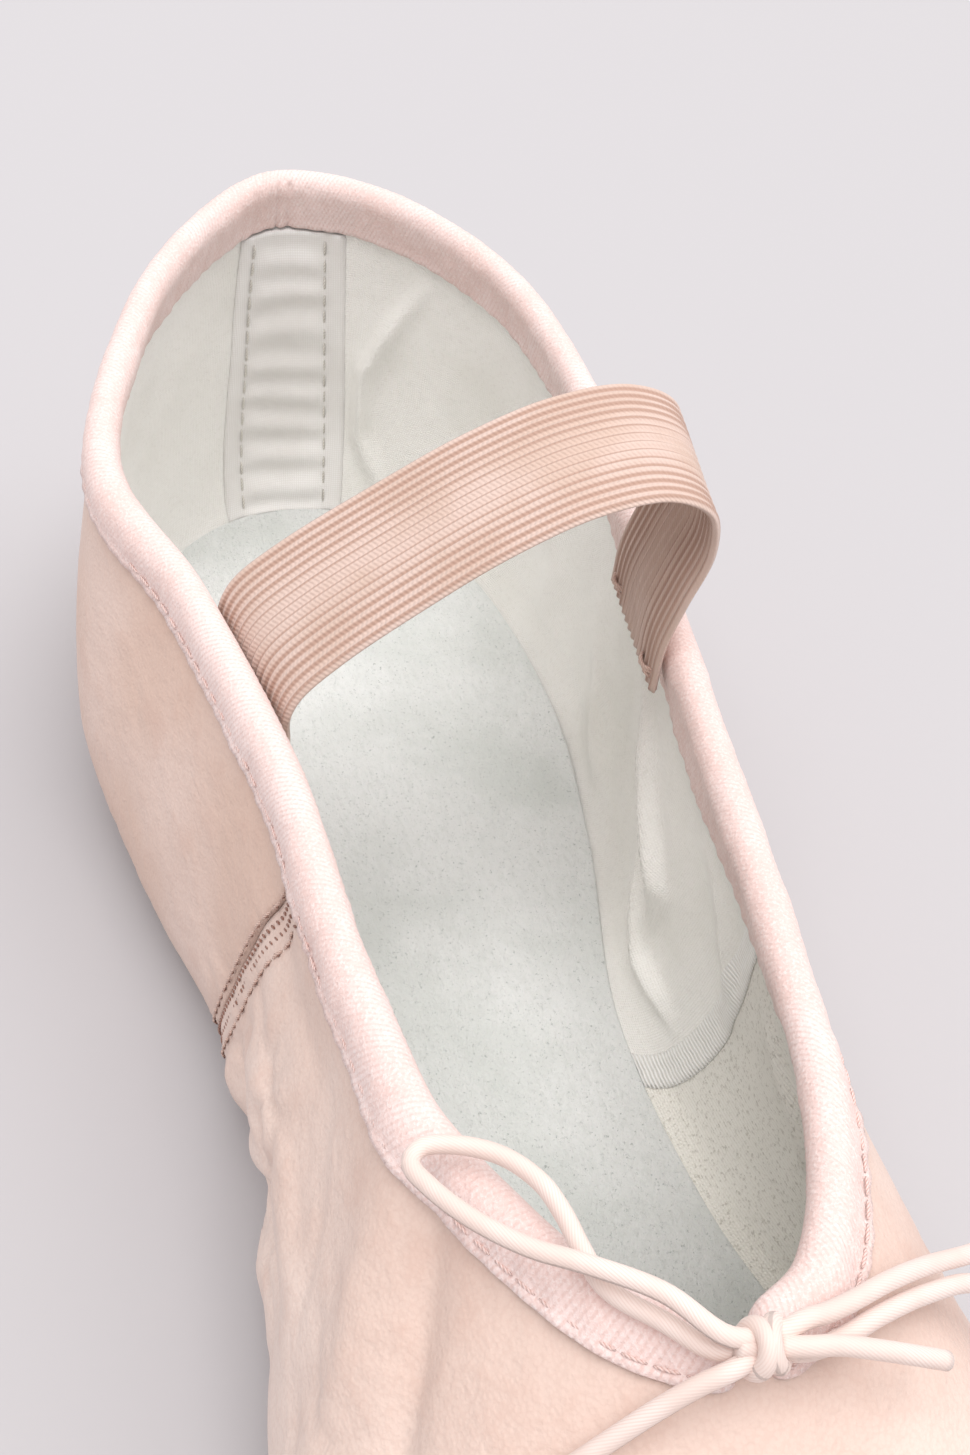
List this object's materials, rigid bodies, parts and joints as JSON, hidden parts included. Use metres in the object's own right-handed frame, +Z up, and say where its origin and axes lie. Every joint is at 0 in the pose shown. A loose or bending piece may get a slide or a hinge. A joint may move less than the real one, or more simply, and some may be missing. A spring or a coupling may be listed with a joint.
{
  "type": "ballet slipper",
  "caption": "Soft full-sole ballet slipper: pleated leather upper, lined, with bound topline, elastic strap over the instep and a drawstring bow at the throat.",
  "frame": {"origin": "on the flat underside of the outsole, on the shoe's long axis, 115 mm in front of the heel's topline", "axes": "+X from heel to toe, +Z up, +Y to the left of a wearer facing +X; the sole lies on z = 0"},
  "size_m": [0.2371, 0.0687, 0.069],
  "materials": {
    "upper_leather": "soft matte garment leather",
    "sole_suede": "napped suede",
    "insole_board": "matte fibre board",
    "sock_suede": "napped pale suede",
    "lining_cotton": "matte woven cotton",
    "stay_tape": "matte woven tape",
    "binding_tape": "twill cotton tape",
    "strap_elastic": "ribbed woven elastic",
    "drawstring_elastic": "braided elastic cord",
    "thread": "twisted sewing thread"
  },
  "bodies": {
    "shoe": {"back_seam_zigzag": "thread", "back_stay_tape": "stay_tape", "binding_stitch": "thread", "drawstring_in_casing": "drawstring_elastic", "insole_board": "insole_board", "insole_sock": "sock_suede", "lining_seam_tape_left": "stay_tape", "lining_seam_tape_right": "stay_tape", "outsole": "sole_suede", "quarter_left": "upper_leather", "quarter_lining_left": "lining_cotton", "quarter_lining_right": "lining_cotton", "quarter_right": "upper_leather", "side_seam_stitch_left_front": "thread", "side_seam_stitch_left_rear": "thread", "side_seam_stitch_right_front": "thread", "side_seam_stitch_right_rear": "thread", "side_seam_zigzag_left": "thread", "side_seam_zigzag_right": "thread", "sole_stitch": "thread", "topline_binding": "binding_tape", "vamp": "upper_leather", "vamp_lining": "lining_cotton"},
    "strap": {"elastic_strap": "strap_elastic", "strap_tack_left_front": "thread", "strap_tack_left_rear": "thread", "strap_tack_right_front": "thread", "strap_tack_right_rear": "thread"},
    "bow": {"bow_knot": "drawstring_elastic", "bow_loop_left": "drawstring_elastic", "bow_loop_right": "drawstring_elastic", "bow_tail_left": "drawstring_elastic", "bow_tail_right": "drawstring_elastic"}
  },
  "joints": [
    {"name": "strap_swing", "type": "hinge", "parent": "shoe", "child": "strap", "pos_m": [-0.034, 0, 0.044], "axis": [0, 1, 0], "range_deg": [-25, 25], "stiffness_Nm_per_rad": 0.002},
    {"name": "bow_lift", "type": "hinge", "parent": "shoe", "child": "bow", "pos_m": [0.0523, 0, 0.0533], "axis": [0, 1, 0], "range_deg": [0, 70], "stiffness_Nm_per_rad": 0.0002}
  ]
}
